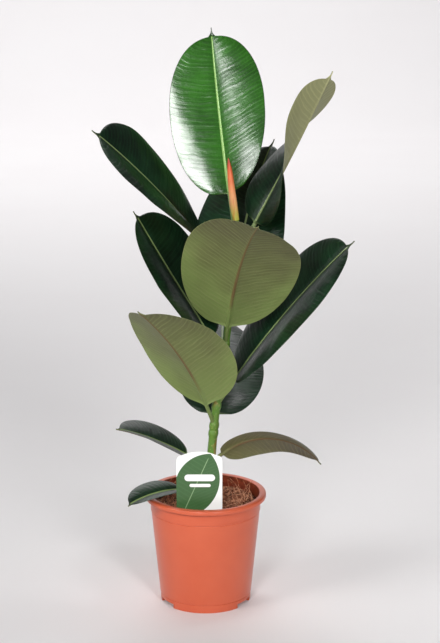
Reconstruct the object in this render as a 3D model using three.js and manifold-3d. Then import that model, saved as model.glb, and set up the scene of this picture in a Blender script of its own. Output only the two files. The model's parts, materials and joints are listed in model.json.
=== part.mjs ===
// A rubber plant (Ficus elastica, a broad-leaved form) in a round plastic nursery pot.
// Units are millimetres, +Z is up, and the origin is the centre of the pot's base on the floor.
// Azimuth 0 points along +X and 90 along +Y, which is away from the side the label faces.

import * as THREE from "three";
import { mergeVertices } from "three/addons/utils/BufferGeometryUtils.js";
import Module from "manifold-3d";

const wasm = await Module();
wasm.setup();

// ---------- driving dimensions ----------

const GAP = 0.3; // clearance between two pieces that touch

// Pot
const POT_HEIGHT = 158;
const RIM_DIAMETER = 170; // over the rolled lip
const LIP_WIDTH = 9.5; // from the inner edge of the lip to its outer edge
const LIP_DROP = 6.5; // how far the lip turns down outside the wall
const LIP_CROWN = 1.6; // height of the lip's rounded top
const POT_WALL = 1.6;
const POT_FLOOR = 2;
const BASE_DIAMETER = 127;
const COLLAR_HEIGHT = 20; // the straighter band below the lip
const COLLAR_STEP = 0.8; // how far the wall steps in below the collar
const FOOT_HEIGHT = 9; // the band at the foot
const FOOT_STEP = 0.9;
const POT_SIDES = 60;

// Drainage channels across the underside of the pot
const CHANNEL_COUNT = 3;
const CHANNEL_FIRST_AZIMUTH = 90;
const CHANNEL_WIDTH = 33;
const CHANNEL_HEIGHT = 6.5;
const HUB_RADIUS = 17; // flat centre of the base, which stands on the floor
const DRAIN_RADIUS = 4.5;
const DRAIN_PLACES = [30, 48]; // distances of the drain holes from the pot's axis

// Potting mix
const SOIL_BELOW_RIM = 19;
const SOIL_LUMP = 1.8; // height of the lumps on its surface
const SOIL_CROWN = 3; // rise from the wall to the stem
const SOIL_RINGS = 6;

// Stem
const STEM_BURIED = 45;
const STEM_HEIGHT = 405; // from the soil to the top node
const STEM_BASE_RADIUS = 6.6;
const STEM_TOP_RADIUS = 4.2;
const STEM_FOOT = [5, 0]; // where it leaves the soil, from the pot's axis
const STEM_LEAN = [37, 4]; // how far the top node lies from the foot
const STEM_WAVE = [-3.5, 2]; // how far it swings to one side and then the other on the way up
const NODE_SWELL = 1.1; // extra radius at each leaf's node
const NODE_REACH = 7; // half the height of that swelling
const STEM_SIDES = 12;

// Sheath round the bud at the tip of the stem
const BUD_LENGTH = 86;
const BUD_RADIUS = 5;
const BUD_AZIMUTH = 184; // the side it leans to
const BUD_RISE = 81;
const BUD_BEND = -4;
const BUD_SIDES = 10;

// Leaves
const LEAF_THICKNESS = 1.1;
const MARGIN_THICKNESS = 0.7;
const STALK_RADIUS = 2.7;
const MIDRIB_TIP_RADIUS = 0.9;
const DRIP_TIP_LENGTH = 13;
const DRIP_TIP_RADIUS = 1.5;
const BLADE_ROUNDNESS = 2.15; // exponent of the blade's outline, 2 for an ellipse
const STALK_ROWS = 3;
const BLADE_ROWS = 13;
const TIP_ROWS = 2;

// node: height of the leaf's node above the soil. azimuth, sweep: where the leaf heads from the
// stem, and how far that turns along it. rise, droop: its slope at the stem, and how much it falls
// by the tip. roll, twist: how far the right half is raised at the stalk, and how much more by the
// tip. fold: how far each half turns up from flat. cup: extra turn at the margin. In degrees.
const LEAVES = [
  { name: "leaf_01_lowest_left", node: 16, azimuth: 200, sweep: 10, rise: 20, droop: 44,
    roll: 10, twist: -12, stalk: 44, length: 78, width: 58, fold: 15, cup: 0 },
  { name: "leaf_02_low_right", node: 58, azimuth: 10, sweep: -8, rise: 50, droop: 105,
    roll: 50, twist: -40, stalk: 27, length: 143, width: 77, fold: 3, cup: 0 },
  { name: "leaf_03_low_left", node: 49, azimuth: 189, sweep: 12, rise: 38, droop: 21,
    roll: 17, twist: -14, stalk: 40, length: 107, width: 73, fold: 15, cup: 0 },
  { name: "leaf_04_back_low", node: 103, azimuth: 82, sweep: 10, rise: 38, droop: 25,
    roll: 0, twist: -20, stalk: 32, length: 220, width: 130, fold: -8, cup: 0 },
  { name: "leaf_05_front_left", node: 114, azimuth: 242, sweep: -15, rise: 60, droop: 21,
    roll: -15, twist: 8, stalk: 42, length: 207, width: 140, fold: 16, cup: 0 },
  { name: "leaf_06_right", node: 142, azimuth: 355, sweep: -15, rise: 58, droop: 12,
    roll: -15, twist: -25, stalk: 46, length: 250, width: 138, fold: 8, cup: 0 },
  { name: "leaf_07_left", node: 212, azimuth: 174, sweep: 22, rise: 58, droop: -5,
    roll: 14, twist: 32, stalk: 30, length: 200, width: 132, fold: 15, cup: 0 },
  { name: "leaf_08_front", node: 231, azimuth: 282, sweep: 0, rise: 65, droop: 38,
    roll: 12, twist: 12, stalk: 32, length: 245, width: 156, fold: 6, cup: 0 },
  { name: "leaf_09_back_high", node: 272, azimuth: 72, sweep: -28, rise: 69, droop: 12,
    roll: -28, twist: 45, stalk: 30, length: 216, width: 135, fold: 12, cup: 0 },
  { name: "leaf_10_upper_left", node: 318, azimuth: 205, sweep: 10, rise: 55, droop: 16,
    roll: 10, twist: 44, stalk: 60, length: 236, width: 126, fold: 11, cup: 0 },
  { name: "leaf_11_upper_right", node: 351, azimuth: 5, sweep: -24, rise: 60, droop: -6,
    roll: -60, twist: 96, stalk: 57, length: 220, width: 121, fold: 11, cup: 0 },
  { name: "leaf_12_top", node: 383, azimuth: 103, sweep: 0, rise: 55, droop: -12,
    roll: 46, twist: -20, stalk: 62, length: 232, width: 143, fold: 8, cup: 0 },
];

// Label
const LABEL_WIDTH = 63;
const LABEL_SHOWING = 94; // from the soil to its top
const LABEL_BURIED = 46;
const LABEL_SPIKE_WIDTH = 16;
const LABEL_SPIKE_START = 8; // how deep the shoulders of the spike lie
const LABEL_THICKNESS = 0.9;
const LABEL_CORNER = 7;
const LABEL_CROWN = 6; // how far the arched top rises over its corners
const LABEL_OFF_CENTRE = -8; // how far its middle lies along X from the pot's axis
const LABEL_WALL_MARGIN = 7.5; // from its far edge to the inside of the pot's wall

// ---------- derived sizes ----------

const RIM_RADIUS = RIM_DIAMETER / 2;
const BASE_RADIUS = BASE_DIAMETER / 2;
const WALL_TOP_RADIUS = RIM_RADIUS - LIP_WIDTH + POT_WALL; // outside of the wall under the lip
const SOIL_LEVEL = POT_HEIGHT - SOIL_BELOW_RIM;
const COLLAR_BOTTOM = POT_HEIGHT - COLLAR_HEIGHT;
const LABEL_REACH = LABEL_WIDTH / 2 + Math.abs(LABEL_OFF_CENTRE);
const DEG = Math.PI / 180;

// ---------- helpers ----------

const lerp = (a, b, t) => a + (b - a) * t;

// A closed geometry as a solid that can be cut and joined.
function solidOf(geometry) {
  const bare = geometry.clone();
  bare.deleteAttribute("normal");
  bare.deleteAttribute("uv");
  const merged = mergeVertices(bare, 1e-4);
  const mesh = new wasm.Mesh({
    numProp: 3,
    vertProperties: new Float32Array(merged.attributes.position.array),
    triVerts: new Uint32Array(merged.index.array),
  });
  return new wasm.Manifold(mesh);
}

// A solid back as a geometry with flat faces.
function geometryOf(solid) {
  const mesh = solid.getMesh();
  const points = new Float32Array(mesh.numVert * 3);
  for (let i = 0; i < mesh.numVert; i++) {
    points.set(mesh.vertProperties.subarray(i * mesh.numProp, i * mesh.numProp + 3), i * 3);
  }
  const geometry = new THREE.BufferGeometry();
  geometry.setAttribute("position", new THREE.BufferAttribute(points, 3));
  geometry.setIndex(new THREE.BufferAttribute(new Uint32Array(mesh.triVerts), 1));
  return geometry;
}

// A closed skin over rings of points, with the first and last ring capped.
// Every ring has the same count, running anticlockwise seen from ahead of it.
function loft(rings) {
  const count = rings[0].length;
  const points = rings.flat();
  const triangles = [];
  for (let r = 0; r + 1 < rings.length; r++) {
    for (let i = 0; i < count; i++) {
      const a = r * count + i;
      const b = r * count + ((i + 1) % count);
      triangles.push(a, b, b + count, a, b + count, a + count);
    }
  }
  const middle = (ring) => ring.reduce((sum, p) => sum.add(p), new THREE.Vector3())
    .divideScalar(count);
  const last = (rings.length - 1) * count;
  points.push(middle(rings[0]), middle(rings[rings.length - 1]));
  for (let i = 0; i < count; i++) {
    const next = (i + 1) % count;
    triangles.push(points.length - 2, next, i);
    triangles.push(points.length - 1, last + i, last + next);
  }
  const geometry = new THREE.BufferGeometry().setFromPoints(points);
  geometry.setIndex(triangles);
  return geometry;
}

// A solid of revolution about Z from [radius, height] points that run anticlockwise.
function turned(profile, sides) {
  const points = [...profile, profile[0]].map(([r, z]) => new THREE.Vector2(r, z));
  return new THREE.LatheGeometry(points, sides).rotateX(Math.PI / 2);
}

function finish(colour, roughness) {
  return new THREE.MeshStandardMaterial({ color: colour, roughness, metalness: 0 });
}

function piece(name, solid, material) {
  const geometry = geometryOf(solid);
  geometry.computeVertexNormals();
  const mesh = new THREE.Mesh(geometry, material);
  mesh.name = name;
  return mesh;
}

// ---------- pot ----------

// Outside radius of the pot's tapered wall at a height, between the foot band and the collar.
function wallRadius(z) {
  const low = BASE_RADIUS + FOOT_STEP;
  const high = WALL_TOP_RADIUS - COLLAR_STEP;
  return lerp(low, high, (z - FOOT_HEIGHT) / (COLLAR_BOTTOM - FOOT_HEIGHT));
}

function potProfile() {
  const lipInner = RIM_RADIUS - LIP_WIDTH;
  const lipMiddle = RIM_RADIUS - LIP_WIDTH / 2;
  const skirtInner = RIM_RADIUS - POT_WALL;
  const underLip = POT_HEIGHT - LIP_CROWN - POT_WALL;
  return [
    [0, 0],
    [BASE_RADIUS - 1, 0],
    [BASE_RADIUS, 1],
    [BASE_RADIUS, FOOT_HEIGHT - 1],
    [wallRadius(FOOT_HEIGHT), FOOT_HEIGHT],
    [wallRadius(COLLAR_BOTTOM), COLLAR_BOTTOM],
    [WALL_TOP_RADIUS, COLLAR_BOTTOM + 1.5],
    [WALL_TOP_RADIUS, underLip],
    [skirtInner, underLip - 1],
    [skirtInner, POT_HEIGHT - LIP_DROP],
    [RIM_RADIUS, POT_HEIGHT - LIP_DROP],
    [RIM_RADIUS, POT_HEIGHT - 2.4],
    [RIM_RADIUS - 1.2, POT_HEIGHT - 0.8],
    [lipMiddle, POT_HEIGHT],
    [lipInner + 1.4, POT_HEIGHT - 0.5],
    [lipInner, POT_HEIGHT - LIP_CROWN],
    [WALL_TOP_RADIUS - POT_WALL, COLLAR_BOTTOM + 1.5],
    [wallRadius(COLLAR_BOTTOM) - POT_WALL, COLLAR_BOTTOM],
    [wallRadius(FOOT_HEIGHT) - POT_WALL, FOOT_HEIGHT],
    [BASE_RADIUS - POT_WALL, POT_FLOOR],
    [0, POT_FLOOR],
  ];
}

const channelAzimuths = Array.from({ length: CHANNEL_COUNT }, (_, i) =>
  (CHANNEL_FIRST_AZIMUTH + (i * 360) / CHANNEL_COUNT) * DEG);

// A bar from near the pot's axis out past its wall, one for each channel.
function channelBars(width, start, end, low, high) {
  return channelAzimuths.map((azimuth) => {
    const bar = new THREE.BoxGeometry(end - start, width, high - low);
    bar.translate((start + end) / 2, 0, (low + high) / 2).rotateZ(azimuth);
    return solidOf(bar);
  });
}

function makePot() {
  const shell = solidOf(turned(potProfile(), POT_SIDES));
  // The inside of the wall, as a plug that keeps the channel roofs within it.
  const plug = solidOf(turned([
    [0, -1],
    [BASE_RADIUS - POT_WALL / 2, -1],
    [BASE_RADIUS - POT_WALL / 2, FOOT_HEIGHT + POT_FLOOR],
    [0, FOOT_HEIGHT + POT_FLOOR],
  ], POT_SIDES));
  const past = BASE_RADIUS + 10;
  const roofs = channelBars(CHANNEL_WIDTH + 2 * POT_FLOOR, HUB_RADIUS - POT_FLOOR, past,
    POT_FLOOR / 2, CHANNEL_HEIGHT + POT_FLOOR);
  const channels = channelBars(CHANNEL_WIDTH, HUB_RADIUS, past, -1, CHANNEL_HEIGHT);
  let pot = shell;
  roofs.forEach((roof) => { pot = pot.add(roof.intersect(plug)); });
  channels.forEach((channel) => { pot = pot.subtract(channel); });
  for (const azimuth of channelAzimuths) {
    for (const place of DRAIN_PLACES) {
      const drain = new THREE.CylinderGeometry(DRAIN_RADIUS, DRAIN_RADIUS, 30, 16)
        .rotateX(Math.PI / 2)
        .translate(place * Math.cos(azimuth), place * Math.sin(azimuth), 0);
      pot = pot.subtract(solidOf(drain));
    }
  }
  return pot;
}

// ---------- stem ----------

// Point on the stem's axis at a share of the way from its foot to its top node. It goes on
// straight below the foot, where the stem is buried.
function stemPoint(share) {
  const swing = Math.sin(2 * Math.PI * Math.max(0, share));
  return new THREE.Vector3(
    STEM_FOOT[0] + STEM_LEAN[0] * share + STEM_WAVE[0] * swing,
    STEM_FOOT[1] + STEM_LEAN[1] * share + STEM_WAVE[1] * swing,
    SOIL_LEVEL + STEM_HEIGHT * share,
  );
}

function stemRadius(height) {
  const share = Math.max(0, height) / STEM_HEIGHT;
  const swell = LEAVES.reduce((most, leaf) => {
    const away = Math.abs(height - leaf.node) / NODE_REACH;
    return Math.max(most, away < 1 ? 0.5 + 0.5 * Math.cos(Math.PI * away) : 0);
  }, 0);
  return lerp(STEM_BASE_RADIUS, STEM_TOP_RADIUS, share) + NODE_SWELL * swell;
}

// The stem's skin, thickened by extra for cutting a clearance round it.
function makeStem(extra) {
  const heights = [-STEM_BURIED - extra, -STEM_BURIED / 2, 0];
  for (const leaf of LEAVES) {
    heights.push(leaf.node - NODE_REACH, leaf.node, leaf.node + NODE_REACH);
  }
  const top = STEM_HEIGHT + extra;
  const rows = heights.filter((h) => h < top - 1.5).sort((a, b) => a - b)
    .filter((h, i, all) => i === 0 || h - all[i - 1] > 3);
  rows.push(top);
  return solidOf(loft(rows.map((height) => {
    const centre = stemPoint(height / STEM_HEIGHT);
    const radius = stemRadius(height) + extra;
    return Array.from({ length: STEM_SIDES }, (_, i) => {
      const turn = (2 * Math.PI * i) / STEM_SIDES;
      return new THREE.Vector3(centre.x + radius * Math.cos(turn),
        centre.y + radius * Math.sin(turn), centre.z);
    });
  })));
}

// ---------- paths that leave the stem ----------

// The frame at a point of a path with a slope and a heading: forward, up and side, with up and
// side turned about forward by roll.
function frameAt(slope, heading, roll) {
  const forward = new THREE.Vector3(Math.cos(slope) * Math.cos(heading),
    Math.cos(slope) * Math.sin(heading), Math.sin(slope));
  const flatUp = new THREE.Vector3(-Math.sin(slope) * Math.cos(heading),
    -Math.sin(slope) * Math.sin(heading), Math.cos(slope));
  const flatSide = new THREE.Vector3().crossVectors(forward, flatUp);
  const side = flatSide.clone().multiplyScalar(Math.cos(roll))
    .addScaledVector(flatUp, Math.sin(roll));
  const up = flatUp.clone().multiplyScalar(Math.cos(roll))
    .addScaledVector(flatSide, -Math.sin(roll));
  return { forward, up, side };
}

// Frames along a path of even curvature from start, at the given distances.
function pathFrames(start, shape, total, distances) {
  const steps = 60;
  const along = (distance) => {
    const share = Math.max(0, distance) / total;
    return frameAt((shape.rise - shape.droop * share) * DEG,
      (shape.azimuth + shape.sweep * share) * DEG, (shape.roll + shape.twist * share) * DEG);
  };
  return distances.map((distance) => {
    const point = start.clone();
    for (let i = 0; i < steps; i++) {
      const { forward } = along((distance * (i + 0.5)) / steps);
      point.addScaledVector(forward, distance / steps);
    }
    return { point, ...along(distance) };
  });
}

// ---------- leaves ----------

// Half the blade's width as a share, from its base at 0 to its apex at 1.
function bladeOutline(share) {
  const off = Math.abs(2 * share - 1);
  return Math.pow(Math.max(0, 1 - Math.pow(off, BLADE_ROUNDNESS)), 1 / BLADE_ROUNDNESS);
}

// Where one half of the section lies at a distance out from the midrib: [sideways, up].
function sectionPoint(distance, half, leaf) {
  const steps = 6;
  let across = 0;
  let up = 0;
  for (let i = 0; i < steps; i++) {
    const out = (distance * (i + 0.5)) / steps;
    const turn = (leaf.fold + leaf.cup * (out / half)) * DEG;
    across += (Math.cos(turn) * distance) / steps;
    up += (Math.sin(turn) * distance) / steps;
  }
  return [across, up];
}

function leafRows(leaf) {
  const rows = [];
  for (let i = 0; i < STALK_ROWS; i++) {
    rows.push({ distance: (leaf.stalk * i) / STALK_ROWS, half: STALK_RADIUS,
      rib: STALK_RADIUS, blade: 0 });
  }
  for (let i = 0; i <= BLADE_ROWS; i++) {
    const share = 0.5 - 0.5 * Math.cos((Math.PI * (i + 0.35)) / (BLADE_ROWS + 0.7));
    const rib = lerp(STALK_RADIUS, MIDRIB_TIP_RADIUS, share);
    const half = Math.max(rib + 0.4, (leaf.width / 2) * bladeOutline(share));
    rows.push({ distance: leaf.stalk + leaf.length * share, half, rib,
      blade: Math.min(1, share / 0.05) });
  }
  for (let i = 1; i <= TIP_ROWS; i++) {
    const share = i / TIP_ROWS;
    const half = lerp(DRIP_TIP_RADIUS, 0.5, share);
    rows.push({ distance: leaf.stalk + leaf.length + DRIP_TIP_LENGTH * share, half,
      rib: Math.min(half, MIDRIB_TIP_RADIUS * (1.2 - share)), blade: 1 });
  }
  return rows;
}

// Points of a leaf's section from one margin over the top to the other, and back underneath.
// Across each half they lie at the midrib, at its edge, halfway out and at the margin.
function leafRing(row, frame, leaf) {
  const { half, rib, blade } = row;
  const outs = [0, rib * 0.8, rib + (half - rib) * 0.5, half];
  const place = (side, k, lower) => {
    const out = outs[k];
    const [across, up] = blade > 0 ? sectionPoint(out, half, leaf) : [out, 0];
    const round = Math.sqrt(Math.max(0.02, 1 - Math.min(1, out / rib) ** 2)) * rib;
    const flat = (k === 3 ? MARGIN_THICKNESS : LEAF_THICKNESS) / 2;
    const flatLower = flat + (k < 2 ? round * 0.9 : 0);
    const thick = lerp(round, lower ? flatLower : flat, blade);
    return frame.point.clone().addScaledVector(frame.side, side * across)
      .addScaledVector(frame.up, up * blade + (lower ? -thick : thick));
  };
  const ring = [];
  for (let k = 3; k > 0; k--) ring.push(place(1, k, false));
  for (let k = 0; k <= 3; k++) ring.push(place(-1, k, false));
  for (let k = 3; k > 0; k--) ring.push(place(-1, k, true));
  for (let k = 0; k <= 3; k++) ring.push(place(1, k, true));
  return ring.reverse();
}

function makeLeaf(leaf) {
  const start = stemPoint(leaf.node / STEM_HEIGHT);
  const total = leaf.stalk + leaf.length + DRIP_TIP_LENGTH;
  const rows = leafRows(leaf);
  const frames = pathFrames(start, leaf, total, rows.map((row) => row.distance));
  return solidOf(loft(rows.map((row, i) => leafRing(row, frames[i], leaf))));
}

// ---------- bud sheath ----------

function makeBud() {
  const shape = { azimuth: BUD_AZIMUTH, sweep: 0, rise: BUD_RISE, droop: BUD_BEND,
    roll: 0, twist: 0 };
  const shares = [0, 0.12, 0.3, 0.45, 0.6, 0.75, 0.88, 0.96, 1];
  const start = stemPoint(1).add(new THREE.Vector3(0, 0, GAP));
  const frames = pathFrames(start, shape, BUD_LENGTH, shares.map((s) => s * BUD_LENGTH));
  const rings = shares.map((share, i) => {
    const radius = BUD_RADIUS * (0.84 + 0.5 * share) * Math.pow(1 - share * share, 0.8) + 0.35;
    const { point, up, side } = frames[i];
    return Array.from({ length: BUD_SIDES }, (_, k) => {
      const turn = (2 * Math.PI * k) / BUD_SIDES;
      return point.clone().addScaledVector(side, -radius * Math.cos(turn))
        .addScaledVector(up, radius * Math.sin(turn));
    });
  });
  return solidOf(loft(rings));
}

// ---------- label ----------

// How far along Y the label stands, where its far shoulder keeps its margin to the wall.
function labelPlane() {
  const inner = wallRadius(SOIL_LEVEL - LABEL_SPIKE_START) - POT_WALL - LABEL_WALL_MARGIN;
  return -Math.sqrt(inner ** 2 - LABEL_REACH ** 2);
}

// The label, thickened and widened by extra for cutting a clearance round it.
function makeLabel(extra) {
  const half = LABEL_WIDTH / 2 + extra;
  const spike = LABEL_SPIKE_WIDTH / 2 + extra;
  const shape = new THREE.Shape();
  shape.moveTo(0, -LABEL_BURIED - extra);
  shape.lineTo(spike, -LABEL_BURIED + 12 - extra);
  shape.lineTo(spike, -LABEL_SPIKE_START - 5 - extra);
  shape.lineTo(half, -LABEL_SPIKE_START - extra);
  shape.lineTo(half, LABEL_SHOWING - LABEL_CROWN - LABEL_CORNER);
  shape.quadraticCurveTo(half, LABEL_SHOWING - LABEL_CROWN,
    half - LABEL_CORNER, LABEL_SHOWING - LABEL_CROWN + 1);
  shape.quadraticCurveTo(0, LABEL_SHOWING + LABEL_CROWN,
    -half + LABEL_CORNER, LABEL_SHOWING - LABEL_CROWN + 1);
  shape.quadraticCurveTo(-half, LABEL_SHOWING - LABEL_CROWN,
    -half, LABEL_SHOWING - LABEL_CROWN - LABEL_CORNER);
  shape.lineTo(-half, -LABEL_SPIKE_START - extra);
  shape.lineTo(-spike, -LABEL_SPIKE_START - 5 - extra);
  shape.lineTo(-spike, -LABEL_BURIED + 12 - extra);
  const depth = LABEL_THICKNESS + 2 * extra;
  const plate = new THREE.ExtrudeGeometry(shape, { depth, bevelEnabled: false, curveSegments: 6 });
  plate.translate(0, 0, -depth / 2).rotateX(Math.PI / 2);
  plate.translate(LABEL_OFF_CENTRE, labelPlane(), SOIL_LEVEL);
  return solidOf(plate);
}

// ---------- potting mix ----------

// Height of the lumpy surface over its level at the wall.
function soilRelief(x, y) {
  const lumps = Math.sin(x * 0.19 + 1.3) * Math.cos(y * 0.23) + Math.sin((x - y) * 0.11 + 0.4);
  return lumps * 0.5 * SOIL_LUMP;
}

function makeSoil() {
  const bottom = POT_FLOOR + GAP;
  const top = SOIL_LEVEL - SOIL_CROWN;
  const inside = (z) => wallRadius(z) - POT_WALL - GAP;
  const profile = [
    [0, bottom],
    [BASE_RADIUS - POT_WALL - GAP - 1, bottom],
    [inside(FOOT_HEIGHT) - 0.6, FOOT_HEIGHT + 0.5],
    [inside(top - SOIL_LUMP), top - SOIL_LUMP],
  ];
  for (let i = SOIL_RINGS - 1; i > 0; i--) {
    const radius = (inside(top) * i) / SOIL_RINGS;
    profile.push([radius, lerp(SOIL_LEVEL, top, (i / SOIL_RINGS) ** 2)]);
  }
  profile.push([0, SOIL_LEVEL]);
  const body = turned(profile, 40);
  const position = body.attributes.position;
  for (let i = 0; i < position.count; i++) {
    const z = position.getZ(i);
    if (z > top - SOIL_LUMP / 2) {
      position.setZ(i, z + soilRelief(position.getX(i), position.getY(i)));
    }
  }
  let soil = solidOf(body);
  const roofs = channelBars(CHANNEL_WIDTH + 2 * POT_FLOOR + 2 * GAP, HUB_RADIUS - POT_FLOOR - GAP,
    BASE_RADIUS + 10, -1, CHANNEL_HEIGHT + POT_FLOOR + GAP);
  roofs.forEach((roof) => { soil = soil.subtract(roof); });
  return soil.subtract(makeStem(GAP)).subtract(makeLabel(GAP));
}

// ---------- the plant ----------

// A leaf without what the stem and the label take up, and without any scrap cut loose by them.
function fitted(blade, neighbours) {
  const left = neighbours.reduce((rest, neighbour) => rest.subtract(neighbour), blade);
  return left.decompose().sort((a, b) => b.volume() - a.volume())[0];
}

const plasticFinish = finish("#d9603f", 0.35);
const soilFinish = finish("#6b4630", 0.95);
const stemFinish = finish("#7f9a4a", 0.6);
const budFinish = finish("#e5805a", 0.5);
const labelFinish = finish("#f6f6f2", 0.4);
const oldLeafFinish = finish("#1f3d26", 0.3);
const youngLeafFinish = finish("#2e6b28", 0.3);
const paleLeafFinish = finish("#6f7d4a", 0.5);
const leafFinishes = { leaf_12_top: youngLeafFinish, leaf_05_front_left: paleLeafFinish,
  leaf_08_front: paleLeafFinish, leaf_02_low_right: paleLeafFinish };

const plant = new THREE.Group();
const stem = makeStem(0);
const stemClearance = makeStem(GAP);
const labelClearance = makeLabel(GAP);
const bud = makeBud().subtract(stemClearance);
plant.add(piece("pot", makePot(), plasticFinish));
plant.add(piece("potting_mix", makeSoil(), soilFinish));
plant.add(piece("stem", stem, stemFinish));
plant.add(piece("bud_sheath", bud, budFinish));
plant.add(piece("label", makeLabel(0), labelFinish));
for (const leaf of LEAVES) {
  const blade = fitted(makeLeaf(leaf), [stemClearance, labelClearance]);
  plant.add(piece(leaf.name, blade, leafFinishes[leaf.name] ?? oldLeafFinish));
}

export default plant;
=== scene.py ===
# %% [markdown]
# # A rubber plant in a nursery pot
#
# This lesson grows the visible plant around a fixed frame of plain solids. Lengths in the text
# are millimetres and lengths in the scene are metres. +Z is up, the pot's axis is the Z axis, and
# the side with the label faces -Y. The first cell loads the frame and notes how big it is.

# %% Load the frame
import json
import math

import bpy
import numpy as np
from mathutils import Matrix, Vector

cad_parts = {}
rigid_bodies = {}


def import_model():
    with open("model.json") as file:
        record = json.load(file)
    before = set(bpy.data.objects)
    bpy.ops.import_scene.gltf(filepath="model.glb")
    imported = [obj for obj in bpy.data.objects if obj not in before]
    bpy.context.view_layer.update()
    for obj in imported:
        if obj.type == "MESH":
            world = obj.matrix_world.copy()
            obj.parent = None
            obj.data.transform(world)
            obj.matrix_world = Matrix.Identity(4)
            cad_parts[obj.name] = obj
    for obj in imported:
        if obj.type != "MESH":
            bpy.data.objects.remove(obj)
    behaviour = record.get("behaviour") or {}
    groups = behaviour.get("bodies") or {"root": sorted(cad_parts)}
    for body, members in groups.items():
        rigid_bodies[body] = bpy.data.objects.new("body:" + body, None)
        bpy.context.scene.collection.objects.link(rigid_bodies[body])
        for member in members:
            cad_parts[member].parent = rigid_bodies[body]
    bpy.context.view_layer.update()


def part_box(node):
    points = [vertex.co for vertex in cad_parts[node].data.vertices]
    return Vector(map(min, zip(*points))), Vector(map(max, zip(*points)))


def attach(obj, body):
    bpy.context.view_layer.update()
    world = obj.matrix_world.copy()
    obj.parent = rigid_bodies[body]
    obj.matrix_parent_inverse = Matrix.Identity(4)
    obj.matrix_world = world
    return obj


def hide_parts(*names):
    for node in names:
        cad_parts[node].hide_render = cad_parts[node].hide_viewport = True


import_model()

# %% [markdown]
# ## Helpers
#
# A colour is written the way a paint chart gives it, as a hex code, and turned into linear light.
# `Num` lets a formula in a node tree be written as a formula.

# %% Small helpers
MM = 0.001
DEG = math.pi / 180


def to_linear(code):
    """A hex colour as linear red, green, blue and alpha."""
    shares = [int(code[i : i + 2], 16) / 255 for i in (1, 3, 5)]
    curve = lambda c: c / 12.92 if c <= 0.04045 else ((c + 0.055) / 1.055) ** 2.4
    return (*[curve(c) for c in shares], 1.0)


def plug(tree, node, inputs):
    """Sets or links a node's inputs. An input is a value, a socket or a Num."""
    for name, value in inputs.items():
        value = value.socket if isinstance(value, Num) else value
        if isinstance(value, bpy.types.NodeSocket):
            tree.links.new(value, node.inputs[name])
        else:
            node.inputs[name].default_value = value


def add(tree, kind, inputs=None, **settings):
    """One node with its settings and inputs."""
    node = tree.nodes.new(kind)
    for name, value in settings.items():
        setattr(node, name, value)
    plug(tree, node, inputs or {})
    return node


def calc(tree, operation, *values):
    """A sum on numbers in a tree, as a Num."""
    inputs = {i: value for i, value in enumerate(values)}
    node = add(tree, "ShaderNodeMath", inputs, operation=operation)
    return Num(tree, node.outputs[0])


class Num:
    """A number on its way through a node tree."""

    def __init__(self, tree, socket):
        self.tree, self.socket = tree, socket

    def __add__(self, other):
        return calc(self.tree, "ADD", self, other)

    def __sub__(self, other):
        return calc(self.tree, "SUBTRACT", self, other)

    def __rsub__(self, other):
        return calc(self.tree, "SUBTRACT", other, self)

    def __mul__(self, other):
        return calc(self.tree, "MULTIPLY", self, other)

    def __truediv__(self, other):
        return calc(self.tree, "DIVIDE", self, other)

    def __pow__(self, other):
        return calc(self.tree, "POWER", self, other)

    def __neg__(self):
        return self * -1.0

    __radd__ = __add__
    __rmul__ = __mul__

    def to(self, operation, *others):
        return calc(self.tree, operation, self, *others)

    def between(self, low, high):
        """0 below low and 1 above high, with a smooth step from one to the other."""
        names = {"Value": self, "From Min": low, "From Max": high}
        node = add(self.tree, "ShaderNodeMapRange", names, interpolation_type="SMOOTHSTEP")
        return Num(self.tree, node.outputs[0])

    def mix(self, low, high):
        """low where this is 0 and high where it is 1."""
        return low + self * (high - low)


def vector(tree, x, y, z):
    return add(tree, "ShaderNodeCombineXYZ", {0: x, 1: y, 2: z}).outputs[0]


def split(tree, socket):
    """The three parts of a vector."""
    return [Num(tree, out) for out in add(tree, "ShaderNodeSeparateXYZ", {0: socket}).outputs]


def link_object(name, mesh):
    made = bpy.data.objects.new(name, mesh)
    bpy.context.scene.collection.objects.link(made)
    return made


def new_mesh(name, points, faces):
    mesh = bpy.data.meshes.new(name)
    mesh.from_pydata([tuple(p) for p in points], [], faces)
    mesh.update()
    mesh.polygons.foreach_set("use_smooth", [True] * len(mesh.polygons))
    return mesh


def settle(piece):
    """Turns what a piece's modifiers make into its own mesh."""
    graph = bpy.context.evaluated_depsgraph_get()
    mesh = bpy.data.meshes.new_from_object(piece.evaluated_get(graph), depsgraph=graph)
    piece.modifiers.clear()
    piece.data = mesh
    return piece


def geometry_tree(name, inputs):
    """An empty geometry tree with named number inputs. Gives the tree and its input sockets."""
    tree = bpy.data.node_groups.new(name, "GeometryNodeTree")
    tree.interface.new_socket("Geometry", in_out="INPUT", socket_type="NodeSocketGeometry")
    for label in inputs:
        tree.interface.new_socket(label, in_out="INPUT", socket_type="NodeSocketFloat")
    tree.interface.new_socket("Geometry", in_out="OUTPUT", socket_type="NodeSocketGeometry")
    start = tree.nodes.new("NodeGroupInput")
    return tree, start


def grow(name, tree, values, mesh=None):
    """Makes an object with a geometry tree and its named values, and keeps the result."""
    piece = link_object(name, mesh or bpy.data.meshes.new(name))
    modifier = piece.modifiers.new(tree.name, "NODES")
    modifier.node_group = tree
    for item in tree.interface.items_tree:
        if item.in_out == "INPUT" and item.name in values:
            modifier[item.identifier] = float(values[item.name])
    return settle(piece)


def report(piece, node):
    """Prints how far the fine piece's box is from its solid's box, in millimetres."""
    points = np.array([piece.matrix_world @ v.co for v in piece.data.vertices])
    low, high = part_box(node)
    below = (points.min(0) - np.array(low)) / MM
    above = (points.max(0) - np.array(high)) / MM
    count = sum(len(p.vertices) - 2 for p in piece.data.polygons)
    print(f"{piece.name}: {count} triangles, low {below.round(1)}, high {above.round(1)}")


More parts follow.
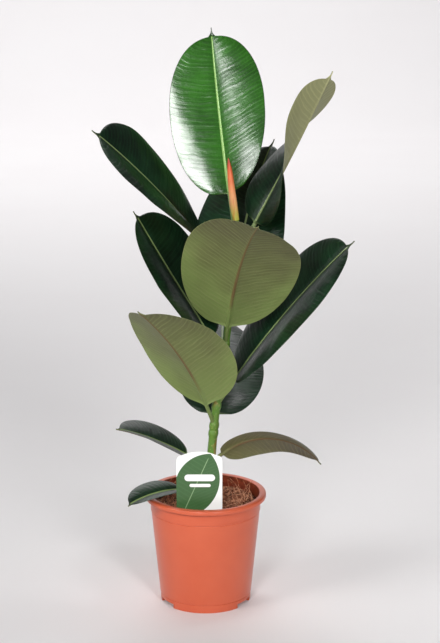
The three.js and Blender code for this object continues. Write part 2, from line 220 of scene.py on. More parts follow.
# %% [markdown]
# ## Sizes
#
# The main places come from the frame's own boxes. The few extra sizes below are for parts that
# the solids leave plain.

# %% Places from the frame
_, pot_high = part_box("pot")
stem_low, stem_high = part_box("stem")
label_low, label_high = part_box("label")

RIM_RADIUS = pot_high.x / MM
POT_HEIGHT = pot_high.z / MM
STEM_BURIED = 45
SOIL_LEVEL = stem_low.z / MM + STEM_BURIED
STEM_HEIGHT = stem_high.z / MM - SOIL_LEVEL
STEM_FOOT = (5, 0)
STEM_LEAN = (37, 4)
STEM_WAVE = (-3.5, 2)
print(f"rim radius {RIM_RADIUS:.1f}, soil at {SOIL_LEVEL:.1f}, stem {STEM_HEIGHT:.1f} high")


def stem_point(height):
    """Point of the stem's axis, in millimetres, at a height above the soil."""
    share = height / STEM_HEIGHT
    swing = math.sin(2 * math.pi * max(0, share))
    return Vector(
        (
            STEM_FOOT[0] + STEM_LEAN[0] * share + STEM_WAVE[0] * swing,
            STEM_FOOT[1] + STEM_LEAN[1] * share + STEM_WAVE[1] * swing,
            SOIL_LEVEL + height,
        )
    )


# %% [markdown]
# ## Materials
#
# Every finish is built from noise and from the piece's own measurements, so the pattern sits in
# real millimetres. A leaf carries an attribute, `leaf_place`, that says how far along the blade a
# spot is, how far out from the midrib, and how wide the blade is there.

# %% Material helpers


def new_material(name):
    """A material with one surface shader. Gives the material, its tree and the shader."""
    material = bpy.data.materials.new(name)
    material.use_nodes = True
    tree = material.node_tree
    tree.nodes.clear()
    shader = add(tree, "ShaderNodeBsdfPrincipled")
    add(tree, "ShaderNodeOutputMaterial", {0: shader.outputs[0]})
    return material, tree, shader


def blend(tree, amount, first, second):
    """The first colour where amount is 0 and the second where it is 1."""
    node = add(tree, "ShaderNodeMix", {0: amount}, data_type="RGBA")
    for slot, value in ((6, first), (7, second)):
        if isinstance(value, str):
            node.inputs[slot].default_value = to_linear(value)
        else:
            tree.links.new(value, node.inputs[slot])
    return node.outputs[2]


def place(tree):
    """Where a spot is on the object, in metres."""
    return add(tree, "ShaderNodeTexCoord").outputs["Object"]


def noise(tree, size, where=None, detail=3.0, rough=0.55, stretch=None):
    """Soft noise from 0 to 1 whose blobs are about size millimetres across."""
    where = where or place(tree)
    if stretch:
        scaled = {0: where, 1: stretch}
        where = add(tree, "ShaderNodeVectorMath", scaled, operation="MULTIPLY").outputs[0]
    inputs = {"Vector": where, "Scale": 1 / (size * MM), "Detail": detail, "Roughness": rough}
    return Num(tree, add(tree, "ShaderNodeTexNoise", inputs).outputs[0])


def bump(tree, height, depth):
    """Normals that follow a height from 0 to 1, depth millimetres deep."""
    inputs = {"Height": height, "Distance": depth * MM, "Strength": 1.0}
    return add(tree, "ShaderNodeBump", inputs).outputs[0]


# %% [markdown]
# ### Leaf finishes
#
# Side veins leave the midrib every few millimetres, run outwards almost straight and bend towards
# the tip near the margin. They are pale lines in the colour and low waves in the surface, which is
# what breaks the sheen into stripes.

# %% Leaf materials
VEIN_STEP = 6.0  # millimetres between side veins


def leaf_parts(tree, slant, hook=9.0):
    """Along, out, half width and place among the side veins, in millimetres, and the side."""
    attribute = add(tree, "ShaderNodeAttribute", attribute_name="leaf_place")
    along, out, half = [part / MM for part in split(tree, attribute.outputs["Vector"])]
    side = out.to("SIGN")
    out = out.to("ABSOLUTE")
    reach = out / half
    wander = noise(tree, 26, detail=2.0) * 7.0
    run = along - out * slant - (reach**3) * hook + wander + side * 1.3
    return along, out, half, run, side


def vein_lines(run, step, sharpness):
    """1 on each side vein and 0 between them."""
    wave = (run * (2 * math.pi / step)).to("COSINE") * 0.5 + 0.5
    return wave**sharpness


def streaks(tree, run, out, side, wide, long):
    """Soft uneven streaks along the side veins, wide and long in millimetres."""
    where = vector(tree, run * MM, out * (MM * wide / long), side * 0.05)
    return noise(tree, wide, where, detail=0.6)


def leaf_upper(name, deep, fresh, vein, rib, margin, rough, gloss, level):
    """The waxy upper side: deep and fresh are its two greens."""
    material, tree, shader = new_material(name)
    along, out, half, run, side = leaf_parts(tree, 0.16)
    broad = streaks(tree, run, out, side, 5.0, 45.0)
    narrow = streaks(tree, run, out, side, 1.8, 30.0)
    lines = vein_lines(run, VEIN_STEP, 6.0)
    patches = noise(tree, 45, detail=2.0).between(0.3, 0.7)
    colour = blend(tree, patches, deep, fresh)
    colour = blend(tree, (broad * 0.7 + narrow * 0.3).between(0.35, 0.7) * 0.5, colour, deep)
    colour = blend(tree, lines * 0.3, colour, vein)
    rib_width = (along * -0.006 + 1.9).to("MAXIMUM", 0.45)
    on_rib = 1.0 - (out - rib_width).between(0.0, 0.7)
    on_edge = (half - out).between(0.2, 1.1)
    colour = blend(tree, on_edge, margin, colour)
    colour = blend(tree, on_rib, colour, rib)
    colour = blend(tree, 1.0 - along.between(-2.0, 6.0), colour, rib)
    on_tip = (1.0 - half.between(3.5, 9.0)) * along.between(50.0, 80.0)
    colour = blend(tree, on_tip, colour, margin)
    fade = out.between(1.0, 10.0)
    height = (broad * 2.4 + narrow * 0.3 - lines * 0.2) * fade + noise(tree, 24) * 3.0
    plug(tree, shader, {
        "Base Color": colour,
        "Roughness": noise(tree, 9) * 0.14 + (rough - 0.07),
        "Normal": bump(tree, height, 0.32),
        "Coat Weight": gloss,
        "Coat Roughness": rough * 0.7,
        "Specular IOR Level": level,
    })
    return material


def leaf_under(name, base, mid, tip, vein, rib, length, rough=0.55):
    """The matt underside, which goes from base to mid to tip along its length."""
    material, tree, shader = new_material(name)
    along, out, half, run, side = leaf_parts(tree, 0.42)
    broad = streaks(tree, run, out, side, 5.0, 45.0)
    narrow = streaks(tree, run, out, side, 1.6, 30.0)
    lines = vein_lines(run, VEIN_STEP * 1.25, 5.0) * (broad.between(0.3, 0.6) * 0.6 + 0.4)
    share = along / length + (noise(tree, 40, detail=1.0) - 0.5) * 0.5
    edge = (out / half).between(0.55, 1.0)
    colour = blend(tree, (share - edge * 0.22).between(0.0, 0.6), base, mid)
    colour = blend(tree, share.between(0.4, 1.05), colour, tip)
    colour = blend(tree, lines * 0.42 + narrow.between(0.5, 0.75) * 0.22, colour, vein)
    colour = blend(tree, noise(tree, 3.5).between(0.55, 0.8) * 0.3, colour, tip)
    rib_width = (along * -0.009 + 2.7).to("MAXIMUM", 0.6)
    on_rib = 1.0 - (out - rib_width).between(-0.4, 0.5)
    colour = blend(tree, on_rib, colour, blend(tree, share.between(0.0, 0.3), base, rib))
    on_edge = (half - out).between(0.1, 0.8)
    colour = blend(tree, on_edge, vein, colour)
    colour = blend(tree, 1.0 - along.between(-4.0, 10.0), colour, base)
    height = lines * 0.3 + narrow * 0.5 + broad * 0.8 + noise(tree, 18) * 1.6
    plug(tree, shader, {
        "Base Color": colour,
        "Roughness": noise(tree, 6) * 0.15 + (rough - 0.07),
        "Normal": bump(tree, height, 0.35),
        "Specular IOR Level": 0.4,
    })
    return material


# Old leaf, upper side: a thin wax layer over deep green. The eye gets a near-black green with a
# soft grey sheen that the side veins break into stripes.
OLD_UPPER = leaf_upper(
    "old leaf, upper side", "#05140a", "#12301a", "#20402a", "#7d8f5c", "#26381f", 0.34, 0.2, 0.25
)
# Young leaf, upper side: fresher green under new, smoother wax, so its sheen is bright and sharp.
YOUNG_UPPER = leaf_upper(
    "young leaf, upper side", "#1a450c", "#2b6315", "#3d7c26", "#8fb568", "#1a3a10", 0.27, 1.0, 0.4
)
# Undersides have little wax, so they are matt: olive on most leaves, brown on the low right one,
# and pale on the two youngest.
OLD_UNDER = leaf_under(
    "old leaf, underside", "#74854a", "#646b3f", "#565539", "#858a58", "#685634", 240
)
BROWN_UNDER = leaf_under(
    "brownish leaf, underside", "#6f6f44", "#625f3e", "#544f39", "#86845a", "#6a5534", 150
)
YOUNG_UNDER = leaf_under(
    "pale leaf, underside", "#9a9c68", "#8e8f64", "#85865e", "#a8a97c", "#94936a", 240
)
print("leaf materials ready")

# %% [markdown]
# ## Leaves
#
# One geometry tree makes every leaf. It bends a closed tube of points along the midrib: the first
# rows stay round and are the stalk, the next spread into the two halves of the blade, and the last
# narrow into the drip tip. The midrib turns evenly in slope and heading, so its place at any
# distance follows from a formula.

# %% The leaf tree
LEAF_INPUTS = (
    "Start X", "Start Y", "Start Z", "Azimuth", "Sweep", "Rise", "Droop", "Roll", "Twist",
    "Stalk", "Length", "Width", "Fold", "Dome", "Ripple", "Seed",
)  # fmt: skip
LEAF_ROUND = 96  # points round the leaf's section
LEAF_ROWS = 250
STALK_END = 0.08  # share of the rows that are the stalk
BLADE_END = 0.95
STALK_RADIUS = 2.7
RIB_TIP = 0.9
TIP_LENGTH = 13.0
THICKNESS = 1.0
OUTLINE = 2.15  # roundness of the blade, 2 for an ellipse


def turning(tree, start, rate, distance):
    """How far a line goes along and across when its angle turns evenly from start."""
    half = rate * distance * 0.5 + 0.00001
    chord = distance * half.to("SINE") / half
    angle = start + half
    return chord * angle.to("COSINE"), chord * angle.to("SINE")


def leaf_tree(upper, under, label):
    tree, start = geometry_tree(label, LEAF_INPUTS)
    given = {name: Num(tree, start.outputs[name]) for name in LEAF_INPUTS}
    for name in ("Azimuth", "Sweep", "Rise", "Droop", "Roll", "Twist", "Fold"):
        given[name] = given[name] * DEG
    tube = add(
        tree,
        "GeometryNodeMeshCylinder",
        {
            "Vertices": LEAF_ROUND,
            "Side Segments": LEAF_ROWS,
            "Fill Segments": 1,
            "Radius": 1.0,
            "Depth": 1.0,
        },
        fill_type="TRIANGLE_FAN",
    ).outputs["Mesh"]
    x, y, z = split(tree, add(tree, "GeometryNodeInputPosition").outputs[0])
    row = z + 0.5

    # Distance along the leaf, with the rows closer together where the outline turns fast.
    in_stalk = (row / STALK_END).to("MINIMUM", 1.0)
    step = ((row - STALK_END) / (BLADE_END - STALK_END)).to("MAXIMUM", 0.0).to("MINIMUM", 1.0)
    eased = 0.5 - (step * math.pi).to("COSINE") * 0.5
    share = step * 0.35 + eased * 0.65
    in_tip = ((row - BLADE_END) / (1 - BLADE_END)).to("MAXIMUM", 0.0)
    along = given["Length"] * share
    tip_length = (given["Length"] * 0.055).to("MINIMUM", TIP_LENGTH)
    distance = given["Stalk"] * in_stalk + along + in_tip * tip_length
    total = given["Stalk"] + given["Length"] + TIP_LENGTH

    # Half width of the blade, and radius of the midrib.
    off = (share * 2.0 - 1.0).to("ABSOLUTE")
    oval = (1.0 - off**OUTLINE).to("MAXIMUM", 0.0) ** (1 / OUTLINE)
    rib = share.mix(STALK_RADIUS, RIB_TIP)
    tip = (1.0 - in_tip) ** 2.6 * 5.0 + 0.35
    on_blade = step.between(0.0, 0.06) * (1.0 - in_tip.between(0.6, 1.0) * 0.5)
    narrowest = (in_tip.to("GREATER_THAN", 0.0)).mix(rib, tip)
    half = (given["Width"] * oval * 0.5).to("MAXIMUM", narrowest)
    half = half.to("MAXIMUM", share.to("GREATER_THAN", 0.9) * tip)

    # Out from the midrib, with the points closer together near it.
    out_share = (x.to("ABSOLUTE") ** 1.5) * x.to("SIGN") * -1.0
    out = out_share * half
    reach = out_share.to("ABSOLUTE")
    edge = (1.0 - reach**6.0).to("MAXIMUM", 0.0) ** 0.5
    upper_side = y.to("SIGN")
    ribs = (rib * rib - out * out).to("MAXIMUM", 0.0) ** 0.5
    under_rib = ribs * (upper_side * -0.5 + 0.5) * 0.95
    groove = ribs * (upper_side * 0.5 + 0.5) * 0.22
    skin = upper_side * edge * (THICKNESS / 2) - under_rib - groove
    dome = (1.0 - (reach * 2.0 - 0.9) ** 2.0 / 1.21) * given["Dome"] * oval
    flat = out.to("ABSOLUTE") * given["Fold"].to("SINE")
    field = vector(tree, out * 0.02 + given["Seed"], distance * 0.013, 0.0)
    wavy = add(tree, "ShaderNodeTexNoise", {"Vector": field, "Scale": 1.0, "Detail": 1.0})
    wave = (Num(tree, wavy.outputs[0]) - 0.5) * given["Ripple"] * 4.0 * reach * oval
    up_blade = flat + dome + wave + skin
    across = on_blade.mix(x * rib * -1.0, out * given["Fold"].to("COSINE"))
    up = on_blade.mix(y * rib, up_blade)

    # The frame that travels along the midrib.
    gone = distance / total
    slope = given["Rise"] - given["Droop"] * gone
    heading = given["Azimuth"] + given["Sweep"] * gone
    roll = given["Roll"] + given["Twist"] * gone
    sum_c, sum_s = turning(
        tree, given["Rise"] + given["Azimuth"], (given["Sweep"] - given["Droop"]) / total, distance
    )
    dif_c, dif_s = turning(
        tree, given["Rise"] - given["Azimuth"], -(given["Sweep"] + given["Droop"]) / total, distance
    )
    _, climb = turning(tree, given["Rise"], -given["Droop"] / total, distance)
    centre = (
        given["Start X"] + (dif_c + sum_c) * 0.5,
        given["Start Y"] + (sum_s - dif_s) * 0.5,
        given["Start Z"] + climb,
    )
    cos_e, sin_e = slope.to("COSINE"), slope.to("SINE")
    cos_a, sin_a = heading.to("COSINE"), heading.to("SINE")
    cos_r, sin_r = roll.to("COSINE"), roll.to("SINE")
    flat_up = (-sin_e * cos_a, -sin_e * sin_a, cos_e)
    flat_side = (sin_a, -cos_a, sin_a * 0.0)
    side = [s * cos_r + u * sin_r for s, u in zip(flat_side, flat_up)]
    rise = [u * cos_r - s * sin_r for s, u in zip(flat_side, flat_up)]
    where = [(c + s * across + u * up) * MM for c, s, u in zip(centre, side, rise)]

    facts = vector(tree, (distance - given["Stalk"]) * MM, out * MM, half * MM)
    store = add(
        tree,
        "GeometryNodeStoreNamedAttribute",
        {"Geometry": tube, "Name": "leaf_place", "Value": facts},
        data_type="FLOAT_VECTOR",
    )
    sides = add(
        tree,
        "GeometryNodeStoreNamedAttribute",
        {"Geometry": store.outputs[0], "Name": "leaf_side", "Value": y},
        data_type="FLOAT",
    )
    shaped = add(
        tree,
        "GeometryNodeSetPosition",
        {"Geometry": sides.outputs[0], "Position": vector(tree, *where)},
    )
    smooth = add(tree, "GeometryNodeSetShadeSmooth", {"Geometry": shaped.outputs[0]})
    real = add(tree, "GeometryNodeRealizeInstances", {"Geometry": smooth.outputs[0]})
    below = add(
        tree, "GeometryNodeSetMaterial", {"Geometry": real.outputs[0], "Material": under}
    )
    side_of = add(tree, "GeometryNodeInputNamedAttribute", {"Name": "leaf_side"})
    is_upper = Num(tree, side_of.outputs[0]).to("GREATER_THAN", 0.0)
    above = add(
        tree,
        "GeometryNodeSetMaterial",
        {"Geometry": below.outputs[0], "Material": upper, "Selection": is_upper},
    )
    add(tree, "NodeGroupOutput", {0: above.outputs[0]})
    return tree


OLD_LEAF = leaf_tree(OLD_UPPER, OLD_UNDER, "old leaf")
YOUNG_LEAF = leaf_tree(YOUNG_UPPER, YOUNG_UNDER, "young leaf")
PALE_LEAF = leaf_tree(OLD_UPPER, YOUNG_UNDER, "leaf with a pale underside")
BROWN_LEAF = leaf_tree(OLD_UPPER, BROWN_UNDER, "leaf with a brownish underside")

# %% [markdown]
# Each leaf now needs only its own numbers. Heights are above the soil and angles are in degrees.
# `Dome` is how far each half bulges up between the midrib and the margin, and `Ripple` how far
# the blade waves.

# %% Grow the leaves
LEAF_KEYS = (
    "Node", "Azimuth", "Sweep", "Rise", "Droop", "Roll", "Twist", "Stalk", "Length", "Width",
    "Fold", "Dome", "Ripple",
)  # fmt: skip
LEAVES = {
    "leaf_01_lowest_left": (OLD_LEAF, 16, 200, 10, 20, 44, 10, -12, 44, 78, 58, 15, 2, 1),
    "leaf_02_low_right": (BROWN_LEAF, 58, 10, -8, 48, 103, 56, -40, 20, 150, 94, -8, 3, 1),
    "leaf_03_low_left": (OLD_LEAF, 49, 189, 12, 38, 21, 17, -14, 40, 107, 73, 15, 2, 1),
    "leaf_04_back_low": (OLD_LEAF, 103, 82, 10, 38, 25, 0, -20, 32, 220, 130, -8, 3, 2),
    "leaf_05_front_left": (OLD_LEAF, 114, 242, -15, 60, 21, -15, 8, 42, 207, 140, 16, 3, 2),
    "leaf_06_right": (OLD_LEAF, 142, 355, -15, 58, 12, -15, -25, 46, 250, 138, 8, 4, 2),
    "leaf_07_left": (OLD_LEAF, 212, 174, 22, 57, -5, 14, 32, 30, 200, 132, 15, 4, 2),
    "leaf_08_front": (OLD_LEAF, 231, 282, 0, 65, 38, 12, 12, 32, 245, 156, 6, 3, 2),
    "leaf_09_back_high": (OLD_LEAF, 272, 72, -28, 69, 12, -28, 45, 30, 216, 135, 12, 4, 2),
    "leaf_10_upper_left": (OLD_LEAF, 318, 205, 10, 55, 16, 10, 44, 60, 236, 126, 11, 4, 2),
    "leaf_11_upper_right": (PALE_LEAF, 351, 5, -24, 60, -6, -60, 96, 57, 220, 121, 11, 3, 2),
    "leaf_12_top": (YOUNG_LEAF, 383, 103, 0, 55, -12, 46, -20, 62, 232, 143, 8, 4, 1),
}
for number, (name, (tree, *values)) in enumerate(LEAVES.items()):
    numbers = dict(zip(LEAF_KEYS, values))
    point = stem_point(numbers["Node"])
    numbers.update({"Start X": point.x, "Start Y": point.y, "Start Z": point.z})
    numbers["Seed"] = 3.7 * number + 1.3
    leaf = grow("fine_" + name, tree, numbers)
    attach(leaf, "root")
    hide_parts(name)
    report(leaf, name)

# %% [markdown]
# ## Pot
#
# The pot is a turned shell: a list of corners, each eased by its own radius, is spun round the
# axis. The drainage channels and holes are then cut, and a thin roof is added over each channel.

# %% Pot plastic
# Moulded plastic: even satin gloss, faint turned rings, and inside the top a dark brown that is
# partly a film of mix and partly painted shade.
pot_plastic, tree, shader = new_material("terracotta coloured plastic")
mottle = noise(tree, 30, detail=2.0)
colour = blend(tree, mottle, "#cd5c3c", "#d46544")
x, y, z = split(tree, place(tree))
rings = noise(tree, 1.0, vector(tree, z * 0.0, z * 0.0, z), detail=2.0)
across = (x * x + y * y) ** 0.5 / MM
# Painted shade: the inside of the wall above the mix is darkened towards deep brown. This stands
# partly for a film of mix and partly for the shade that falls inside the pot.
inner = (1.0 - across.between(75.6, 76.2)) * (z / MM).between(134.0, 136.0)
mix_film_and_painted_shade = noise(tree, 7, detail=4.0).between(0.25, 0.75) * 0.35 + 0.6
colour = blend(tree, inner * mix_film_and_painted_shade, colour, "#5a2415")
plug(tree, shader, {
    "Base Color": colour,
    "Roughness": 0.3,
    "Normal": bump(tree, noise(tree, 0.9) * 0.12 + rings * 0.15, 0.08),
    "Specular IOR Level": 0.5,
})

# %% Turn the pot
WALL = 1.6
FLOOR = 2.0
LIP = 9.5
COLLAR_LOW = POT_HEIGHT - 25
FOOT_RADIUS = 63.5
FOOT_TOP = 12.0
POT_SIDES = 192
CHANNELS = (90, 210, 330)
HUB_RADIUS = 17
CHANNEL_WIDTH = 33
CHANNEL_HEIGHT = 6.5
DRAINS = (30, 48)  # distances of the drain holes from the axis
DRAIN_RADIUS = 4.5
DRAIN_SIDES = 32
SHARP_ANGLE = 35  # degrees: a steeper edge than this stays crisp
wall_top = RIM_RADIUS - LIP + WALL


def wall_radius(height):
    """Outside of the tapered wall between the foot band and the collar."""
    share = (height - FOOT_TOP) / (COLLAR_LOW - FOOT_TOP)
    return (FOOT_RADIUS + 0.9) * (1 - share) + (wall_top - 0.8) * share


def eased(corners, steps=5):
    """A line of (radius, height, ease) corners with each inner corner rounded."""
    line = [corners[0][:2]]
    for before, corner, after in zip(corners, corners[1:], corners[2:]):
        at = np.array(corner[:2])
        back, on = np.array(before[:2]) - at, np.array(after[:2]) - at
        reach = min(corner[2], np.linalg.norm(back) * 0.48, np.linalg.norm(on) * 0.48)
        one = at + back / np.linalg.norm(back) * reach
        two = at + on / np.linalg.norm(on) * reach
        for i in range(steps + 1):
            t = i / steps
            line.append(tuple(one * (1 - t) ** 2 + at * 2 * t * (1 - t) + two * t**2))
    return line + [corners[-1][:2]]


def turned(name, line, sides):
    """A mesh spun round Z from a line that starts and ends on the axis."""
    points = [(0, 0, line[0][1] * MM)]
    faces = []
    inner = line[1:-1]
    for radius, height in inner:
        for i in range(sides):
            turn = 2 * math.pi * i / sides
            points.append((radius * math.cos(turn) * MM, radius * math.sin(turn) * MM, height * MM))
    points.append((0, 0, line[-1][1] * MM))
    last = len(points) - 1
    for i in range(sides):
        j = (i + 1) % sides
        faces.append((0, 1 + j, 1 + i))
        for k in range(len(inner) - 1):
            low, high = 1 + k * sides, 1 + (k + 1) * sides
            faces.append((low + i, low + j, high + j, high + i))
        top = 1 + (len(inner) - 1) * sides
        faces.append((top + i, top + j, last))
    return new_mesh(name, points, faces)


def prism(name, outline, low, high):
    """An upright block over a flat outline that runs anticlockwise, in millimetres."""
    count = len(outline)
    points = [(x * MM, y * MM, z * MM) for z in (low, high) for x, y in outline]
    faces = [tuple(reversed(range(count))), tuple(range(count, 2 * count))]
    for i in range(count):
        j = (i + 1) % count
        faces.append((i, j, count + j, count + i))
    mesh = new_mesh(name, points, faces)
    mesh.polygons.foreach_set("use_smooth", [False] * len(mesh.polygons))
    return mesh


def sector(width, start, radius, azimuth):
    """Outline of a bar from start to an arc of that radius about the pot's axis."""
    half = width / 2
    spread = math.asin(half / radius)
    arc = [(radius, spread * (i / 6 * 2 - 1)) for i in range(7)]
    outline = [(start, half), (start, -half)]
    outline += [(r * math.cos(a), r * math.sin(a)) for r, a in arc]
    c, s = math.cos(azimuth * DEG), math.sin(azimuth * DEG)
    return [(x * c - y * s, x * s + y * c) for x, y in outline]


def combine(piece, mesh, operation):
    """Cuts a mesh out of a piece, or adds it."""
    tool = link_object("tool", mesh)
    modifier = piece.modifiers.new(operation, "BOOLEAN")
    modifier.operation = operation
    modifier.solver = "EXACT"
    modifier.object = tool
    settle(piece)
    bpy.data.objects.remove(tool)


lip_in = RIM_RADIUS - LIP
skirt_in = RIM_RADIUS - WALL
corners = [
    (0, 0, 0),
    (FOOT_RADIUS, 0, 1.2),
    (FOOT_RADIUS + 0.2, FOOT_TOP - 0.9, 0.3),
    (FOOT_RADIUS - 0.5, FOOT_TOP - 0.3, 0.2),
    (wall_radius(FOOT_TOP), FOOT_TOP + 0.3, 0.3),
    (wall_radius(COLLAR_LOW), COLLAR_LOW - 0.9, 0.3),
    (wall_radius(COLLAR_LOW) - 0.6, COLLAR_LOW - 0.3, 0.2),
    (wall_top, COLLAR_LOW + 0.4, 0.3),
    (wall_top, POT_HEIGHT - 3.2, 0.8),
    (skirt_in, POT_HEIGHT - 4.2, 0.8),
    (skirt_in, POT_HEIGHT - 6.5, 0.5),
    (RIM_RADIUS, POT_HEIGHT - 6.5, 0.8),
    (RIM_RADIUS, POT_HEIGHT - 0.9, 2.6),
    (RIM_RADIUS - LIP / 2, POT_HEIGHT, 2.0),
    (lip_in, POT_HEIGHT - 0.5, 1.6),
    (lip_in, COLLAR_LOW + 1.5, 0.6),
    (wall_radius(COLLAR_LOW) - WALL, COLLAR_LOW, 0.4),
    (wall_radius(FOOT_TOP) - WALL, FOOT_TOP, 0.6),
    (FOOT_RADIUS - WALL, FLOOR, 1.5),
    (0, FLOOR, 0),
]
pot = link_object("fine_pot", turned("pot", eased(corners), POT_SIDES))
roof_top = CHANNEL_HEIGHT + FLOOR
for azimuth in CHANNELS:
    roof = sector(CHANNEL_WIDTH + 2 * FLOOR, HUB_RADIUS - FLOOR, FOOT_RADIUS - 0.8, azimuth)
    combine(pot, prism("roof", roof, FLOOR / 2, roof_top), "UNION")
for azimuth in CHANNELS:
    cut = sector(CHANNEL_WIDTH, HUB_RADIUS, FOOT_RADIUS + 10, azimuth)
    combine(pot, prism("cut", cut, -1, CHANNEL_HEIGHT), "DIFFERENCE")
    for far in DRAINS:
        centre = (far * math.cos(azimuth * DEG), far * math.sin(azimuth * DEG))
        ring = [2 * math.pi * i / DRAIN_SIDES for i in range(DRAIN_SIDES)]
        hole = [
            (centre[0] + DRAIN_RADIUS * math.cos(a), centre[1] + DRAIN_RADIUS * math.sin(a))
            for a in ring
        ]
        combine(pot, prism("hole", hole, -5, 20), "DIFFERENCE")
pot.data.materials.clear()
pot.data.materials.append(pot_plastic)
pot.data.polygons.foreach_set("use_smooth", [True] * len(pot.data.polygons))
pot.data.set_sharp_from_angle(angle=SHARP_ANGLE * DEG)
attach(pot, "root")
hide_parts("pot")
report(pot, "pot")

# %% [markdown]
# ## Potting mix
#
# The body of the mix is a turned solid whose top is raised and sunk by noise. A second tree
# scatters crumbs of peat and short coir fibres over that top. The seeds are fixed, so they fall in
# the same places every time.

# %% Potting mix materials
# Moist peat: dark, rough and crumbly, with no sheen.
peat, tree, shader = new_material("moist peat")
grain = noise(tree, 2.5, detail=6.0, rough=0.7)
colour = blend(tree, grain.between(0.3, 0.7), "#24100a", "#703820")
colour = blend(tree, noise(tree, 14) * 0.5, colour, "#4a2416")
plug(tree, shader, {"Base Color": colour, "Roughness": 0.95, "Normal": bump(tree, grain, 1.6)})
# Coir fibre: thin dry strands, lighter and more orange than the peat, so they stand out from it.
fibre, tree, shader = new_material("coir fibre")
tone = noise(tree, 6, detail=2.0)
colour = blend(tree, tone.between(0.35, 0.65), "#8a4a30", "#dca07c")
strands = noise(tree, 0.6, detail=2.0)
plug(tree, shader, {
    "Base Color": colour,
    "Roughness": noise(tree, 3) * 0.2 + 0.7,
    "Normal": bump(tree, strands, 0.2),
})

# %% Body of the mix
SOIL_CROWN = 3.0
SOIL_FOOT = 9.4  # just above the roofs over the drainage channels
SOIL_SHOULDER = 11
SOIL_SIDES = 150
MOUND = 4.0  # the loose mix stands this much above the level of the solid
inside = lambda height: wall_radius(height) - WALL - 0.3
soil_top = SOIL_LEVEL + MOUND - SOIL_CROWN
shoulder = inside(SOIL_SHOULDER)
line = [(0, SOIL_FOOT), (shoulder - 1.5, SOIL_FOOT), (shoulder, SOIL_SHOULDER)]
line += [
    (inside(soil_top) * s + shoulder * (1 - s), SOIL_SHOULDER + (soil_top - SOIL_SHOULDER) * s)
    for s in (0.33, 0.66, 1.0)
]
SOIL_RINGS = 44
for i in range(SOIL_RINGS - 1, 0, -1):
    share = i / SOIL_RINGS
    line.append((inside(soil_top) * share, SOIL_LEVEL + MOUND - SOIL_CROWN * share**2))
line.append((0, SOIL_LEVEL + MOUND))
soil_mesh = turned("soil", line, SOIL_SIDES)

tree, start = geometry_tree("lumpy top", ("Lump", "Crumb"))
position = add(tree, "GeometryNodeInputPosition").outputs[0]
x, y, z = split(tree, position)
near_top = z.between((soil_top - 1.0) * MM, soil_top * MM)
radius = (x**2.0 + y**2.0) ** 0.5
off_wall = 1.0 - radius.between((inside(soil_top) - 4) * MM, (inside(soil_top) - 0.5) * MM)
big = add(tree, "ShaderNodeTexNoise", {"Vector": position, "Scale": 45.0, "Detail": 2.0})
small = add(tree, "ShaderNodeTexNoise", {"Vector": position, "Scale": 210.0, "Detail": 3.0})
lump = (Num(tree, big.outputs[0]) - 0.5) * Num(tree, start.outputs["Lump"])
crumb = (Num(tree, small.outputs[0]) - 0.5) * Num(tree, start.outputs["Crumb"])
lift = (lump + crumb) * near_top * (off_wall * 0.8 + 0.2) * MM
moved = add(
    tree,
    "GeometryNodeSetPosition",
    {"Geometry": start.outputs["Geometry"], "Offset": vector(tree, 0.0, 0.0, lift)},
)
real = add(tree, "GeometryNodeRealizeInstances", {"Geometry": moved.outputs[0]})
dressed = add(tree, "GeometryNodeSetMaterial", {"Geometry": real.outputs[0], "Material": peat})
add(tree, "NodeGroupOutput", {0: dressed.outputs[0]})
soil = grow("fine_potting_mix", tree, {"Lump": 9.0, "Crumb": 4.0}, soil_mesh)
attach(soil, "root")
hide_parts("potting_mix")
report(soil, "potting_mix")

# %% [markdown]
# The scattering tree takes a surface, keeps its upward faces, and puts a small shape on each
# random point. The shapes are a lump of peat and a bent strand, each of a few dozen faces. In each
# scatter `Density` is shapes per square metre, `Least` and `Most` are the range of scale, and
# `Tilt` is in degrees. `Sink` is how deep a shape sits, `Margin` is its distance from the wall, and
# nothing is put further forward than `Front`, all in millimetres. A few long fibres stand up
# behind the label.

# %% Scatter crumbs and fibres
SCATTER_KEYS = ("Density", "Seed", "Least", "Most", "Tilt", "Sink", "Margin", "Front")


def strand(name, length, thick, bend, turns=9, sides=5):
    """A bent strand along X, closed at both ends, in millimetres."""
    points, faces = [], []
    for k in range(turns):
        t = k / (turns - 1)
        lift = bend * 0.6 * math.sin(2.2 * t + 0.4)
        middle = (length * (t - 0.5), bend * math.sin(3.0 * t), lift)
        radius = thick * (0.25 + 0.75 * math.sin(math.pi * (0.06 + 0.88 * t)))
        for i in range(sides):
            a = 2 * math.pi * i / sides
            y, z = middle[1] + radius * math.cos(a), middle[2] + radius * math.sin(a)
            points.append((middle[0] * MM, y * MM, z * MM))
    for k in range(turns - 1):
        for i in range(sides):
            j = (i + 1) % sides
            faces.append((k * sides + i, k * sides + j, (k + 1) * sides + j, (k + 1) * sides + i))
    faces.append(tuple(reversed(range(sides))))
    faces.append(tuple(range((turns - 1) * sides, turns * sides)))
    return new_mesh(name, points, faces)


def lump_of_peat(name, size):
    """A knobbly lump, from a ball whose points are pushed in and out."""
    tree, start = geometry_tree(name, ("Size",))
    ball = add(tree, "GeometryNodeMeshIcoSphere", {"Radius": 1.0, "Subdivisions": 2})
    where = add(tree, "GeometryNodeInputPosition").outputs[0]
    rough = add(tree, "ShaderNodeTexNoise", {"Vector": where, "Scale": 1.3, "Detail": 2.0})
    size_now = (Num(tree, rough.outputs[0]) + 0.35) * Num(tree, start.outputs["Size"]) * MM
    spot = add(tree, "ShaderNodeVectorMath", {0: where, "Scale": size_now}, operation="SCALE")
    put = add(
        tree,
        "GeometryNodeSetPosition",
        {"Geometry": ball.outputs[0], "Position": spot.outputs[0]},
    )
    add(tree, "NodeGroupOutput", {0: put.outputs[0]})
    ball = grow(name, tree, {"Size": size})
    mesh = ball.data
    bpy.data.objects.remove(ball)
    return mesh


